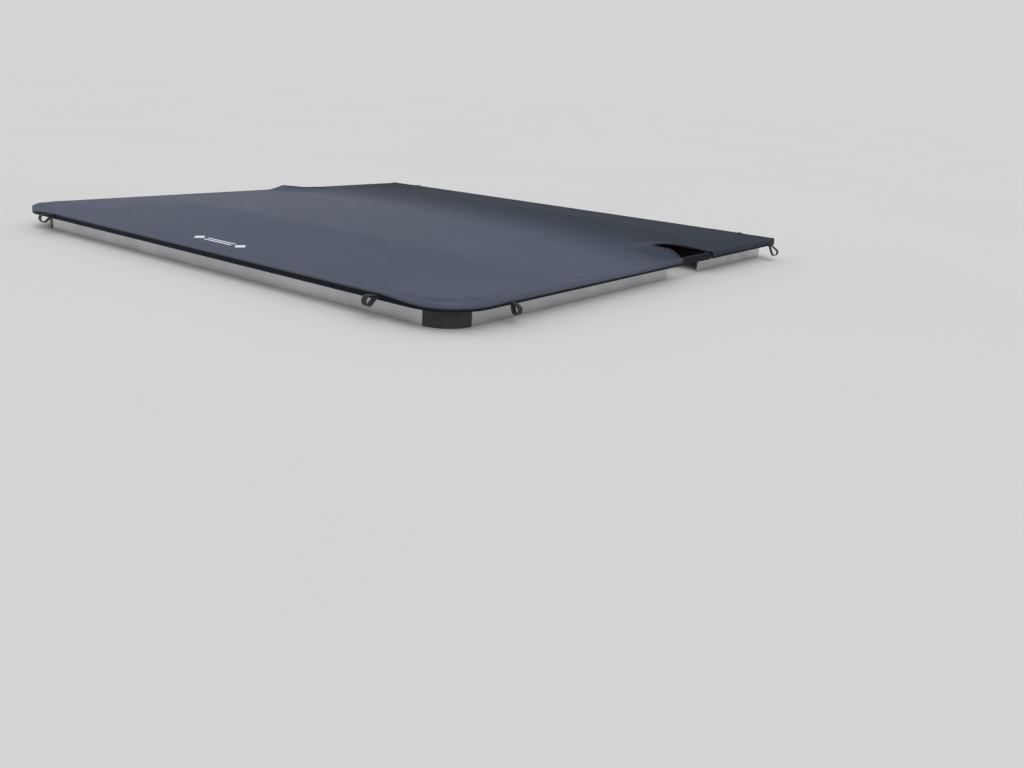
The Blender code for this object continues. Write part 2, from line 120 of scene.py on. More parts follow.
# ---------------- sizes of the cloth
SKIN_TOP = 0.0183  # height of the skin's face above the hem's lower edge, at the edge
SKIN_THICK = 0.0012
CROWN = 0.026
BOW_PLATEAU = 0.015
SAG = 0.0014  # of the skin between two bows
SLOW_WAVE = 0.0002  # height of the broad unevenness of the skin
PUCKER = 0.00035  # height of the puckers along the sewn hem
CORNER_FOLD = 0.0008  # height of the small folds round the two tailgate corners
CORNER_ROLL = 0.0018  # how far the skin rises again just inside those corners
LIFT = 0.014  # swelling of the skin at the foot of each sports bar
LIFT_INNER_X = (0.620, 0.735)
LIFT_OUTER_X = (0.765, 0.808)
LIFT_START_Y = (0.075, 0.142)
LIFT_END_Y = (0.200, 0.330)
BINDING_WIDTH = 0.006
NOTCH_RADIUS = 0.045
LAP = 0.0052  # height of the skin's lower edge over the hem's, along the sides
LAP_RISE = 0.0062  # how much higher it ends along the tailgate
LAP_WANDER = 0.0003
RIM = 0.0072  # the skin's turned edge is black below this height, along the sides
RIM_RISE = 0.0074
RIM_FADE = 0.0020
EDGE_STRIP = HALF_L - RELIEF_Y  # the skin's border, from the hem's outer face in
SEAM_IN = 0.020  # from the hem's outer face in to the row of stitches
SEAM_DEPTH = 0.0004
SEAM_GROOVE = 0.0012  # half the width of the groove that the stitches pull in
SEAM_STOP = 0.009  # the row of stitches ends this far from a notch or step
SPLIT_Y = -0.200  # the skin and side hems are in two pieces here, in the middle leaf
FOLD_HALF = 0.014  # the cloth bends this far to each side of a fold line
EDGE_PITCH = 0.006
FOLD_PITCH = 0.0023
GRID_PITCH = 0.009
GRID_MARGIN = 0.0035
STITCH_PITCH = 0.0056
STITCH_LENGTH = 0.0036
STITCH_RADIUS = 0.0004


# ---------------- small helpers
def smooth_step(value, start, end):
    """0 before start, 1 after end, and an S-curve between them."""
    share = max(0.0, min(1.0, (value - start) / (end - start)))
    return share * share * (3 - 2 * share)


def hump(value, rise, fall):
    """0 before the rise and after the fall, each (start, end), and 1 between them."""
    return smooth_step(value, *rise) * (1 - smooth_step(value, *fall))


def spread(start, end, pitch):
    """Evenly spaced values from start to end, about pitch apart."""
    count = max(1, round(abs(end - start) / pitch))
    return [start + (end - start) * k / count for k in range(count + 1)]


def rows(start, end, pitch):
    """Values of y from start to end, closer together where the cover folds."""
    marks = [start]
    for fold in (FOLD_REAR.y, FOLD_FRONT.y):
        marks += [mark for mark in (fold - FOLD_HALF, fold + FOLD_HALF) if start < mark < end]
    marks.append(end)
    values = [start]
    for first, last in zip(marks, marks[1:]):
        middle = (first + last) / 2
        folds = min(abs(middle - FOLD_REAR.y), abs(middle - FOLD_FRONT.y)) < FOLD_HALF
        values += spread(first, last, FOLD_PITCH if folds else pitch)[1:]
    return values


def arc(centre, radius, start, end):
    """Points on an arc in the plan view; the angles are in degrees."""
    angles = spread(math.radians(start), math.radians(end), EDGE_PITCH / radius)
    return [(centre[0] + radius * math.cos(a), centre[1] + radius * math.sin(a)) for a in angles]


def add_object(name, data):
    obj = bpy.data.objects.new(name, data)
    bpy.context.scene.collection.objects.link(obj)
    return obj


def piece(name, verts, faces, looks, rest=None, sharp=40):
    """A mesh object from corners in cover coordinates; its materials read the attribute rest."""
    mesh = bpy.data.meshes.new(name)
    mesh.from_pydata([tuple(v) for v in verts], [], faces)
    attribute = mesh.attributes.new("rest", "FLOAT_VECTOR", "POINT")
    flat = [value for point in (rest or verts) for value in point]
    attribute.data.foreach_set("vector", flat)
    mesh.transform(Matrix.Translation(ORIGIN))
    for look in looks:
        mesh.materials.append(MATERIALS[look])
    mesh.shade_smooth()
    mesh.set_sharp_from_angle(angle=math.radians(sharp))
    return add_object(name, mesh)


def follow(obj, where, slot, *replaced):
    """Fasten a piece to a body, or, for the front or rear fold, bake its place into its mesh and leave it
    unfastened.
    """
    folds = {
        "front fold": ("root", "cover_middle", FOLD_FRONT),
        "rear fold": ("cover_middle", "cover_rear", FOLD_REAR),
    }
    if where in folds:
        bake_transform(obj)
    else:
        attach(obj, where)
    if replaced:
        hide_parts(*replaced)
    return obj


TURNED_STEPS = 20  # sides of a turned shape


class Shape:
    """Corners and faces being gathered for one mesh."""

    def __init__(self):
        self.verts = []
        self.faces = []
        self.rest = []

    def loft(self, rings, closed=False, rest=None):
        """Join rings of equally many points, capped at both ends or back to the start."""
        base = len(self.verts)
        count = len(rings[0])
        for k, ring in enumerate(rings):
            self.verts += [Vector(point) for point in ring]
            self.rest += rest[k] if rest else [Vector(point) for point in ring]
        pairs = [(k, k + 1) for k in range(len(rings) - 1)]
        if closed:
            pairs.append((len(rings) - 1, 0))
        else:
            self.faces.append([base + k for k in reversed(range(count))])
            self.faces.append([base + (len(rings) - 1) * count + k for k in range(count)])
        for first, second in pairs:
            for k in range(count):
                after = (k + 1) % count
                quad = (first * count + k, first * count + after)
                quad += (second * count + after, second * count + k)
                self.faces.append([base + corner for corner in quad])
        return self

    def lathe(self, centre, axis, profile):
        """Turn (radius, height) points about an axis; a radius pair (flat, 6) is a hexagon."""
        axis = Vector(axis).normalized()
        across = axis.orthogonal().normalized()
        along = axis.cross(across)
        rings = []
        for radius, height in profile:
            ring = []
            for k in range(TURNED_STEPS):
                angle = 2 * math.pi * k / TURNED_STEPS
                reach = radius
                if isinstance(radius, tuple):
                    sector = 2 * math.pi / radius[1]
                    reach = radius[0] / math.cos((angle + sector / 2) % sector - sector / 2)
                outward = math.cos(angle) * across + math.sin(angle) * along
                ring.append(Vector(centre) + reach * outward + height * axis)
            rings.append(ring)
        return self.loft(rings)

    def done(self, name, look, sharp=40):
        return piece(name, self.verts, self.faces, (look,), self.rest, sharp)


# ---------------- materials
class Finish:
    """A material being put together: a Principled shader and the nodes that feed it."""

    def __init__(self, name, roughness, metallic=0.0, **constants):
        self.material = bpy.data.materials.new(name)
        self.material.use_nodes = True
        self.tree = self.material.node_tree
        self.shader = self.tree.nodes["Principled BSDF"]
        self.shader.inputs["Roughness"].default_value = roughness
        self.shader.inputs["Metallic"].default_value = metallic
        for socket, value in constants.items():
            self.shader.inputs[socket.replace("_", " ")].default_value = value

    def node(self, kind, inputs=None, **settings):
        """Add a node; an input is a value or another node's output. Returns its first output."""
        node = self.tree.nodes.new("ShaderNode" + kind)
        for name, value in settings.items():
            setattr(node, name, value)
        for name, value in (inputs or {}).items():
            if isinstance(value, bpy.types.NodeSocket):
                self.tree.links.new(value, node.inputs[name])
            else:
                node.inputs[name].default_value = value
        return node.outputs[0]

    def math(self, operation, first, second=0.0):
        return self.node("Math", {0: first, 1: second}, operation=operation)

    def rest(self, name="rest"):
        """Place on the surface at rest, in metres, which stays put as the cloth bends."""
        node = self.node("Attribute", attribute_name=name).node
        return node.outputs["Vector"] if name == "rest" else node.outputs["Fac"]

    def place(self):
        """Place in the frame, in metres, for a piece that never bends."""
        return self.node("TexCoord").node.outputs["Object"]

    def stretch(self, place, scale):
        return self.node("Mapping", {"Vector": place, "Scale": scale})

    def noise(self, place, scale, detail=3.0, roughness=0.5):
        inputs = {"Vector": place, "Scale": scale, "Detail": detail, "Roughness": roughness}
        return self.node("TexNoise", inputs)

    def cells(self, place, scale):
        """Distance to the nearest of a field of cell centres."""
        return self.node("TexVoronoi", {"Vector": place, "Scale": scale})

    def range(self, value, low, high, start=0.0, end=1.0):
        """Map low..high of a value to start..end, clamped."""
        names = ("Value", "From Min", "From Max", "To Min", "To Max")
        return self.node("MapRange", dict(zip(names, (value, low, high, start, end))))

    def mix(self, share, first, second):
        """Mix two colours, each three numbers or another node's output."""
        first, second = (c if isinstance(c, bpy.types.NodeSocket) else (*c, 1.0) for c in (first, second))
        # a mix node's factor and colours are inputs 0, 6 and 7, and its colour is output 2
        return self.node("Mix", {0: share, 6: first, 7: second}, data_type="RGBA").node.outputs[2]

    def weave(self, place, across, along):
        """Plain weave of two threads with these pitches in metres, from the first two axes."""
        split = self.node("SeparateXYZ", {0: place}).node.outputs
        waves = []
        for axis, pitch in ((0, across), (1, along)):
            turns = self.math("MULTIPLY", split[axis], 2 * math.pi / pitch)
            waves.append(self.math("SINE", turns))
        return self.math("MULTIPLY_ADD", self.math("MULTIPLY", *waves), 0.5)

    def colour(self, socket):
        self.tree.links.new(socket, self.shader.inputs["Base Color"])

    def shade(self, value, low, high, dark, light, most=1.0):
        """Colour the surface from dark towards light as a value goes from low to high."""
        self.colour(self.mix(self.range(value, low, high, 0.0, most), dark, light))

    def roughness(self, socket):
        self.tree.links.new(socket, self.shader.inputs["Roughness"])

    def bumps(self, *layers):
        """Stack (height, strength, depth in metres) layers into the shader's normal, the last
        thing done to a material, which it returns."""
        below = None
        for height, strength, depth in layers:
            inputs = {"Height": height, "Strength": strength, "Distance": depth}
            if below is not None:
                inputs["Normal"] = below
            below = self.node("Bump", inputs)
        self.tree.links.new(below, self.shader.inputs["Normal"])
        return self.material


# the skin's colour: dark vinyl with a painted bluish sky reflection mixed into it
SLATE = (0.032, 0.044, 0.077)
# painted shade at the cab end, where the cab hides the sky
SLATE_CAB_SHADE = (0.009, 0.013, 0.009)
# colour of real dust flecks, and also of a painted highlight on the skin's turned-down edge
SLATE_DUST_AND_EDGE_LIGHT = (0.110, 0.122, 0.150)
HEM_BLACK = (0.004, 0.005, 0.007)
HEM_RUBBED = (0.010, 0.011, 0.014)


def make_vinyl(name, deep, light, roughness, gloss, dust_and_painted_light):
    """Grained vinyl: pebbled leather grain, soft mottling and a little dust; on the skin also painted shade
    towards the cab and a painted highlight on the turned-down edge.
    """
    finish = Finish(name, roughness, Specular_IOR_Level=gloss, Sheen_Weight=0.01, Sheen_Roughness=0.5)
    place = finish.rest()
    mottle = finish.noise(place, 4.0, 4.0, 0.6)
    flecks = finish.noise(place, 160.0, 2.0)
    shade = finish.mix(finish.range(mottle, 0.32, 0.68, 0.0, 1.0), deep, light)
    if dust_and_painted_light:
        # the skin darkens towards the cab: painted shade
        painted_cab_shade = finish.rest("painted_cab_shade")
        shade = finish.mix(finish.math("MULTIPLY", painted_cab_shade, 0.62), shade, SLATE_CAB_SHADE)
        # painted highlight on the turned-down edge
        shade = finish.mix(finish.math("MULTIPLY", finish.rest("roll"), 0.35), shade, SLATE_DUST_AND_EDGE_LIGHT)
        dust = finish.math("MULTIPLY", finish.range(flecks, 0.55, 0.85), 0.06)
        shade = finish.mix(dust, shade, SLATE_DUST_AND_EDGE_LIGHT)
        rim = finish.rest("rim")
        shade = finish.mix(finish.math("MULTIPLY", rim, 0.85), shade, HEM_BLACK)
    else:
        rubbed = finish.range(flecks, 0.58, 0.80, 0.0, 0.35)
        shade = finish.mix(rubbed, shade, HEM_RUBBED)
    finish.colour(shade)
    rough = finish.range(finish.noise(place, 18.0, 3.0), 0.3, 0.7, roughness - 0.02, roughness + 0.02)
    if dust_and_painted_light:
        rough = finish.math("ADD", rough, finish.math("MULTIPLY", painted_cab_shade, 0.50))
    finish.roughness(rough)
    pebble = finish.cells(finish.stretch(place, (1.0, 0.8, 1.0)), 850.0)
    crease = finish.noise(place, 420.0, 3.0, 0.6)
    return finish.bumps((crease, 0.35, 0.00012), (pebble, 0.30, 0.00010))


def make_backing(name):
    """Woven cloth on the vinyl's underside."""
    finish = Finish(name, 0.88, Specular_IOR_Level=0.2)
    place = finish.rest()
    weave = finish.weave(place, 0.0016, 0.0016)
    finish.shade(weave, 0.1, 0.9, (0.018, 0.018, 0.020), (0.045, 0.046, 0.050))
    return finish.bumps((weave, 0.6, 0.0003), (finish.noise(place, 900.0), 0.3, 0.0001))


def make_tape(name, dark, light, pitch):
    """Woven tape or webbing. Its rest is the place along and across the tape."""
    finish = Finish(name, 0.72, Specular_IOR_Level=0.3, Sheen_Weight=0.10, Sheen_Roughness=0.4)
    place = finish.rest()
    weave = finish.weave(place, pitch, pitch * 0.7)
    fuzz = finish.noise(place, 1500.0, 2.0)
    shade = finish.mix(finish.range(weave, 0.0, 1.0), dark, light)
    finish.shade(fuzz, 0.6, 0.9, shade, (0.09, 0.09, 0.10), 0.4)
    return finish.bumps((weave, 0.7, 0.0003), (fuzz, 0.25, 0.0001))


def make_thread(name, shade):
    """Bonded sewing thread."""
    finish = Finish(name, 0.55, Specular_IOR_Level=0.4)
    place = finish.rest()
    twist = finish.noise(finish.stretch(place, (1.0, 1.0, 3.0)), 1800.0, 2.0)
    lighter = tuple(2.2 * value for value in shade)
    finish.shade(twist, 0.35, 0.65, shade, lighter)
    return finish.bumps((twist, 0.5, 0.0001))


def make_aluminium(name, along, shade):
    """Satin extruded aluminium with fine die lines along one axis, 0 for x and 1 for y."""
    finish = Finish(name, 0.38, 1.0)
    place = finish.place()
    fine = tuple(6.0 if axis == along else 900.0 for axis in range(3))
    lines = finish.noise(finish.stretch(place, fine), 1.0, 4.0, 0.7)
    bloom = finish.noise(place, 9.0, 4.0, 0.6)
    darker = tuple(0.80 * value for value in shade)
    finish.shade(bloom, 0.3, 0.7, darker, shade)
    finish.roughness(finish.range(lines, 0.3, 0.7, 0.30, 0.46))
    return finish.bumps((lines, 0.25, 0.00005))


def make_plastic(name):
    """Moulded black plastic with a fine spark-eroded texture."""
    finish = Finish(name, 0.46, Specular_IOR_Level=0.45)
    place = finish.place()
    texture = finish.noise(place, 1400.0, 2.0, 0.6)
    bloom = finish.noise(place, 30.0, 3.0)
    finish.shade(bloom, 0.35, 0.7, (0.014, 0.014, 0.016), (0.030, 0.030, 0.033))
    finish.roughness(finish.range(texture, 0.3, 0.7, 0.40, 0.55))
    return finish.bumps((texture, 0.35, 0.00008))


def make_foam(name):
    """Closed-cell foam."""
    finish = Finish(name, 0.94, Specular_IOR_Level=0.2)
    place = finish.place()
    cells = finish.cells(place, 900.0)
    finish.shade(cells, 0.0, 0.7, (0.008, 0.008, 0.009), (0.030, 0.030, 0.032))
    return finish.bumps((cells, 0.8, 0.0004))


def make_steel(name):
    """Bright steel, drawn or zinc plated."""
    finish = Finish(name, 0.30, 1.0)
    place = finish.rest()
    haze = finish.noise(place, 260.0, 3.0)
    finish.shade(haze, 0.3, 0.7, (0.36, 0.36, 0.37), (0.56, 0.56, 0.57))
    finish.roughness(finish.range(haze, 0.3, 0.7, 0.24, 0.40))
    return finish.bumps((haze, 0.2, 0.00005))


def make_print(name):
    """White screen print that lets a little of the grain through."""
    finish = Finish(name, 0.50, Specular_IOR_Level=0.4)
    place = finish.rest()
    worn = finish.noise(place, 700.0, 3.0, 0.6)
    finish.shade(worn, 0.62, 0.85, (0.78, 0.79, 0.82), SLATE, 0.35)
    return finish.bumps((finish.cells(place, 850.0), 0.25, 0.0001))


def make_floor(name):
    """Plain pale floor."""
    finish = Finish(name, 0.85, Specular_IOR_Level=0.1)
    cloud = finish.noise(finish.place(), 0.6, 2.0)
    finish.colour(finish.mix(cloud, (0.669, 0.642, 0.613), (0.696, 0.667, 0.636)))
    return finish.material


MATERIALS = {
    "vinyl": make_vinyl("slate_vinyl", SLATE, tuple(1.03 * v for v in SLATE), 0.50, 0.30, True),
    "hem": make_vinyl("black_hem_vinyl", HEM_BLACK, tuple(1.5 * v for v in HEM_BLACK), 0.60, 0.08, False),
    "backing": make_backing("woven_backing"),
    "webbing": make_tape("black_webbing", (0.006, 0.006, 0.008), (0.026, 0.026, 0.030), 0.0016),
    "binding": make_tape("black_binding_tape", (0.009, 0.009, 0.011), (0.024, 0.024, 0.028), 0.0011),
    "thread": make_thread("grey_thread", (0.030, 0.032, 0.040)),
    "print": make_print("white_print"),
    "rail_side": make_aluminium("satin_aluminium_side", 1, (0.56, 0.57, 0.58)),
    "rail_end": make_aluminium("satin_aluminium_end", 0, (0.56, 0.57, 0.58)),
    "bow": make_aluminium("mill_aluminium", 0, (0.60, 0.61, 0.62)),
    "plastic": make_plastic("moulded_black_plastic"),
    "foam": make_foam("foam_seal_cells"),
    "steel": make_steel("bright_steel"),
    "floor": make_floor("pale_floor"),
}


# ---------------- shape of the taut skin
def edge_distance(x, y):
    """Distance in from the outer face of the hem."""
    across = abs(x)
    if across > CORNER_X and y < CORNER_Y:
        return CORNER_RADIUS - math.hypot(across - CORNER_X, y - CORNER_Y)
    return min(HALF_W - across, HALF_L - y, HALF_L + y)


def crown(x, y):
    """Height of the skin over its edges: arched across, held level by the bows, and swollen
    where it meets the foot of a sports bar."""
    across = max(0.0, 1 - (x / HALF_W) ** 2)
    rear_rise = (HALF_L + y) / (HALF_L + BOW_Y["rear"] - BOW_PLATEAU)
    front_rise = (HALF_L - y) / (HALF_L - BOW_Y["front"] - BOW_PLATEAU)
    rise = max(0.0, min(rear_rise, front_rise, 1.0))
    swell = hump(abs(x), LIFT_INNER_X, LIFT_OUTER_X) * hump(y, LIFT_START_Y, LIFT_END_Y)
    return CROWN * across * rise + LIFT * swell


def sag(x, y):
    """Slight dip of the skin between its supports."""
    supports = [-HALF_L, BOW_Y["rear"], BOW_Y["middle"], BOW_Y["front"], HALF_L]
    for first, last in zip(supports, supports[1:]):
        if first <= y <= last:
            share = (y - first) / (last - first)
            return SAG * math.sin(math.pi * share) ** 2 * max(0.0, 1 - (x / HALF_W) ** 4)
    return 0.0


def corner_share(x, y):
    """1 in a rounded tailgate corner, fading to 0 along the straight edges beside it."""
    beyond = math.hypot(max(0.0, CORNER_X - abs(x)), max(0.0, y - CORNER_Y))
    return 1 - smooth_step(beyond, 0.0, 0.10)


def unevenness(x, y):
    """Broad waves, puckers along the sewn hem and small folds at the tailgate corners."""
    inward = edge_distance(x, y)
    broad = noise.noise(Vector((5.5 * x, 5.5 * y, 3.0))) + 0.5 * noise.noise(Vector((13 * x, 13 * y, 8.0)))
    height = SLOW_WAVE * broad * smooth_step(inward, 0.0, 0.09)
    height += PUCKER * noise.noise(Vector((38 * x, 38 * y, 1.0))) * math.exp(-inward / 0.030)
    out_x, out_y = abs(x) - CORNER_X, CORNER_Y - y
    radius, turn = math.hypot(out_x, out_y), math.atan2(out_y, out_x)
    window = hump(turn, (-0.45, 0.15), (1.42, 2.0))
    ring = math.exp(-(((radius - CORNER_RADIUS + 0.024) / 0.034) ** 2))
    height += CORNER_FOLD * window * ring * math.sin(10.5 * turn + (0.6 if x > 0 else 2.1))
    roll = hump(inward, (0.003, 0.026), (0.05, 0.16))
    return height + CORNER_ROLL * corner_share(x, y) * roll


def skin_height(x, y):
    """Height of the skin's face."""
    groove = SEAM_DEPTH * math.exp(-(((edge_distance(x, y) - SEAM_IN) / SEAM_GROOVE) ** 2))
    return SKIN_TOP + crown(x, y) - sag(x, y) + unevenness(x, y) - groove


def lap(x, y):
    """Height of the skin's lower edge, where it laps over the hem."""
    wander = LAP_WANDER * noise.noise(Vector((9 * x, 9 * y, 5.0)))
    return LAP + LAP_RISE * tailgate_share(x, y) + wander


def tailgate_share(x, y):
    """1 along the tailgate, fading to 0 before its corners."""
    return (1 - smooth_step(abs(x), 0.62, CORNER_X + 0.06)) * (1 - smooth_step(y, -HALF_L, CORNER_Y))


def rolled(x, y):
    """1 where the skin turns down over the hem, which gets a painted highlight there, fading out towards the
    cab.
    """
    return (1 - smooth_step(edge_distance(x, y), 0.0015, 0.0060)) * (1 - 0.9 * painted_cab_shade(x, y))


def painted_cab_shade(x, y):
    """Weight of the painted shade at the cab: 0 near the tailgate, where the vinyl is palest, and 1 at the
    cab.
    """
    return smooth_step(y + 0.14 * x, -0.05, 0.50)


# ---------------- outlines in the plan view
def side_run(sign, y_start, y_end):
    """Stations (point, inward normal) along a side edge."""
    values = rows(min(y_start, y_end), max(y_start, y_end), EDGE_PITCH)
    return [((sign * HALF_W, y), (-sign, 0.0)) for y in values[::1 if y_start < y_end else -1]]


def end_run(sign, x_start, x_end):
    """Stations along the cab (+1) or tailgate (-1) edge."""
    return [((x, sign * HALF_L), (0.0, -sign)) for x in spread(x_start, x_end, EDGE_PITCH)]


def corner_run(sign):
    """Stations round a rounded tailgate corner, from the side to the tailgate."""
    stations = []
    for angle in spread(0.0, math.pi / 2, EDGE_PITCH / CORNER_RADIUS):
        out_x, out_y = sign * math.cos(angle), -math.sin(angle)
        point = (sign * CORNER_X + CORNER_RADIUS * out_x, CORNER_Y + CORNER_RADIUS * out_y)
        stations.append((point, (-out_x, -out_y)))
    return stations


def inset(station, inward):
    (x, y), (nx, ny) = station
    return x + nx * inward, y + ny * inward


def notch_line(offset, outer_x):
    """Edge of the right sports-bar notch, offset into the skin, from its tailgate end round
    to its cab end."""
    start, end = NOTCH_BOX[0].y + BINDING_WIDTH, NOTCH_BOX[1].y - BINDING_WIDTH
    inner = NOTCH_BOX[0].x + BINDING_WIDTH
    centre_x = inner + NOTCH_RADIUS
    radius = NOTCH_RADIUS + offset
    points = [(x, start - offset) for x in spread(outer_x, centre_x, EDGE_PITCH)[:-1]]
    points += arc((centre_x, start + NOTCH_RADIUS), radius, -90, -180)
    straight = spread(start + NOTCH_RADIUS, end - NOTCH_RADIUS, EDGE_PITCH)[1:-1]
    points += [(inner - offset, y) for y in straight]
    points += arc((centre_x, end - NOTCH_RADIUS), radius, 180, 90)
    points += [(x, end + offset) for x in spread(centre_x, outer_x, EDGE_PITCH)[1:]]
    return points


NOTCH_CUT = BINDING_WIDTH + 0.0003  # the skin's own edge lies this far in from the notch
NOTCH_REAR_Y = NOTCH_BOX[0].y - (NOTCH_CUT - BINDING_WIDTH)
NOTCH_FRONT_Y = NOTCH_BOX[1].y + (NOTCH_CUT - BINDING_WIDTH)
NOTCH_INNER_X = NOTCH_BOX[0].x - (NOTCH_CUT - BINDING_WIDTH)


# ---------------- skin
# (distance in from the hem's face, height): None keeps the skin's own height there
BORDER = [
    (0.0003, 0.0), (0.0, 0.30), (0.0001, 0.60), (0.0006, 0.80), (0.0016, 0.93), (0.0032, 0.985),
    (0.0052, None), (0.0080, None), (0.0115, None), (0.0150, None), (0.0176, None), (0.0189, None),
    (0.0200, None), (0.0211, None), (0.0224, None), (EDGE_STRIP, None),
]


def encloses(line, point):
    """Whether a closed plan line goes round a point."""
    inside = False
    for first, last in zip(line, line[1:] + line[:1]):
        if (first.y > point.y) != (last.y > point.y):
            share = (point.y - first.y) / (last.y - first.y)
            if point.x < first.x + share * (last.x - first.x):
                inside = not inside
    return inside


class Sheet:
    """A sheet of the skin: borders swept along the hem and triangles filled in between."""

    def __init__(self, clockwise):
        self.clockwise = clockwise  # how the border is swept, seen from above
        self.verts = []
        self.faces = []
        self.rim = []
        self.outline = []

    def corner(self, x, y, z=None, rim=0.0):
        self.verts.append((x, y, skin_height(x, y) if z is None else z))
        self.rim.append(rim)
        return len(self.verts) - 1

    def border(self, run):
        """Sweep the border along a run of hem; its inner edge joins the outline."""
        previous = None
        for station in run:
            column = []
            for inward, share in BORDER:
                x, y = inset(station, inward)
                height, low = skin_height(x, y), lap(x, y)
                z = height if share is None else low + (height - low) * share
                black = RIM + RIM_RISE * tailgate_share(x, y)
                rim = 1 - smooth_step(z, black - RIM_FADE, black) if share is not None else 0.0
                column.append(self.corner(x, y, z, rim))
            if previous:
                for k in range(len(BORDER) - 1):
                    quad = (previous[k], previous[k + 1], column[k + 1], column[k])
                    self.faces.append(quad if self.clockwise else quad[::-1])
            previous = column
            self.outline.append(column[-1])

    def edge(self, points):
        """A free edge of the outline."""
        self.outline += [self.corner(x, y) for x, y in points]

    def fill(self, grid):
        """Fill the outline with triangles, with corners at the grid points that are inside."""
        flat = [Vector(self.verts[k][:2]) for k in self.outline]
        known = list(self.outline) + [self.corner(x, y) for x, y in grid]
        flat += [Vector(point) for point in grid]
        outline = list(range(len(self.outline)))
        made = delaunay_2d_cdt(flat, [], [outline], 1, 1e-7, True)
        line = [flat[k] for k in outline]
        for face in made[2]:
            corners = [made[3][k][0] for k in face]
            centre = sum((flat[k] for k in corners), Vector((0.0, 0.0))) / len(corners)
            # a triangle between outline points only may lie across a notch
            if max(corners) >= len(outline) or encloses(line, centre):
                a, b, c = (flat[k] for k in corners[:3])
                upward = corners if (b - a).cross(c - a) > 0 else corners[::-1]
                self.faces.append([known[k] for k in upward])

    def finish(self, name):
        sheet = piece(name, self.verts, self.faces, ("vinyl", "backing"), sharp=60)
        # masks for the painted shade at the cab, the black lower edge and the painted highlight on the turned
        # edge
        shades = {"painted_cab_shade": [painted_cab_shade(x, y) for x, y, z in self.verts], "rim": self.rim,
                  "roll": [rolled(x, y) for x, y, z in self.verts]}
        for key, values in shades.items():
            sheet.data.attributes.new(key, "FLOAT", "POINT").data.foreach_set("value", values)
        uses = Counter(key for polygon in sheet.data.polygons for key in polygon.edge_keys)
        for side in sheet.data.edges:
            side.use_edge_sharp = side.use_edge_sharp or uses[side.key] == 1
        solidify = sheet.modifiers.new("cloth thickness", "SOLIDIFY")
        solidify.thickness = SKIN_THICK
        solidify.offset = -1.0
        solidify.use_rim = True
        solidify.material_offset = 1
        return sheet


GRID_X = spread(EDGE_STRIP - HALF_W, HALF_W - EDGE_STRIP, GRID_PITCH)
SPLIT_LINE = [(x, SPLIT_Y) for x in GRID_X[1:-1]]  # shared corners of the two sheets


def inside_rear(x, y):
    return edge_distance(x, y) > EDGE_STRIP + GRID_MARGIN


def inside_front(x, y):
    if edge_distance(x, y) < EDGE_STRIP + GRID_MARGIN:
        return False
    centre_y = (NOTCH_REAR_Y + NOTCH_FRONT_Y) / 2
    radius = NOTCH_RADIUS + NOTCH_CUT
    reach_y = (NOTCH_FRONT_Y - NOTCH_REAR_Y) / 2 - radius
    out_x = max(0.0, NOTCH_INNER_X + radius - abs(x))
    out_y = max(0.0, abs(y - centre_y) - reach_y)
    if abs(x) > NOTCH_INNER_X and out_x == 0.0:
        return abs(y - centre_y) > reach_y + radius + GRID_MARGIN
    return math.hypot(out_x, out_y) > radius + GRID_MARGIN


def grid(y_start, y_end, inside):
    lines = rows(y_start, y_end, GRID_PITCH)[1:-1]
    return [(x, y) for y in lines for x in GRID_X if inside(x, y)]


def rear_run():
    """The whole hem run of the rear sheet, from the right side round to the left."""
    right = side_run(1, SPLIT_Y, CORNER_Y) + corner_run(1)[1:]
    left = corner_run(-1)[-2::-1] + side_run(-1, CORNER_Y, SPLIT_Y)[1:]
    return right + end_run(-1, CORNER_X, -CORNER_X)[1:] + left


def build_skin():
    """The vinyl in two sheets that meet in the middle leaf."""
    rear = Sheet(clockwise=True)
    rear.border(rear_run())
    rear.edge(SPLIT_LINE)
    rear.fill(grid(-HALF_L, SPLIT_Y, inside_rear))
    rear_sheet = follow(rear.finish("skin_sheet_rear"), "rear fold", "vinyl", "skin_rear")

    front = Sheet(clockwise=False)
    notch = notch_line(NOTCH_CUT, HALF_W - EDGE_STRIP)[1:-1]
    front.border(side_run(1, SPLIT_Y, NOTCH_REAR_Y))
    front.edge(notch)
    front.border(side_run(1, NOTCH_FRONT_Y, RELIEF_Y))
    relief = [(x, RELIEF_Y) for x in spread(HALF_W - EDGE_STRIP, NOTCH_INNER_X, EDGE_PITCH)[1:-1]]
    front.edge(relief)
    front.border(end_run(1, NOTCH_INNER_X, -NOTCH_INNER_X))
    front.edge([(-x, y) for x, y in reversed(relief)])
    front.border(side_run(-1, RELIEF_Y, NOTCH_FRONT_Y))
    front.edge([(-x, y) for x, y in reversed(notch)])
    front.border(side_run(-1, NOTCH_REAR_Y, SPLIT_Y))
    front.edge(SPLIT_LINE)
    front.fill(grid(SPLIT_Y, HALF_L, inside_front))
    replaced = ("skin_front", "skin_middle", "skin_flap_left", "skin_flap_right")
    front_sheet = follow(front.finish("skin_sheet_front"), "front fold", "vinyl", *replaced)
    return rear_sheet, front_sheet


